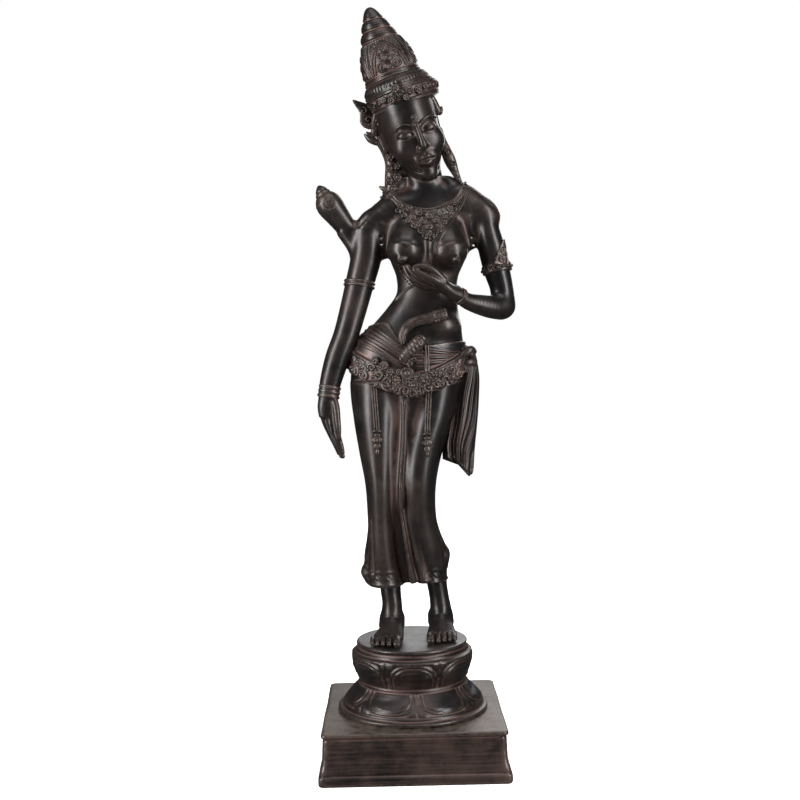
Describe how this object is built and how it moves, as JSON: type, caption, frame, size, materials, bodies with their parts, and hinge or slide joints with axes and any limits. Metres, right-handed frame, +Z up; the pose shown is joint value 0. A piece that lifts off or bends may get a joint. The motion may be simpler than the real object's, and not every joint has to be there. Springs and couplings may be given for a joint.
{
  "type": "standing goddess statue",
  "caption": "Dark cast bronze goddess with a tall crown, one hand lowered and one raised, standing on a double lotus pedestal and a square plinth.",
  "frame": {"origin": "middle of the plinth's underside", "axes": "+X to the viewer's right, -Y out of the front of the figure, +Z up"},
  "size_m": [0.2012, 0.1816, 0.7409],
  "materials": {
    "figure_bronze": "cast bronze, waxed near-black brown patina, worn redder in the carving",
    "pedestal_bronze": "cast bronze, near-black brown patina with a dusty flat top",
    "plinth_bronze": "cast bronze, red-brown patina with faint level streaks and a dusty top"
  },
  "bodies": {
    "root": {"figure": "figure_bronze", "lotus_pedestal": "pedestal_bronze", "plinth": "plinth_bronze"}
  },
  "joints": []
}
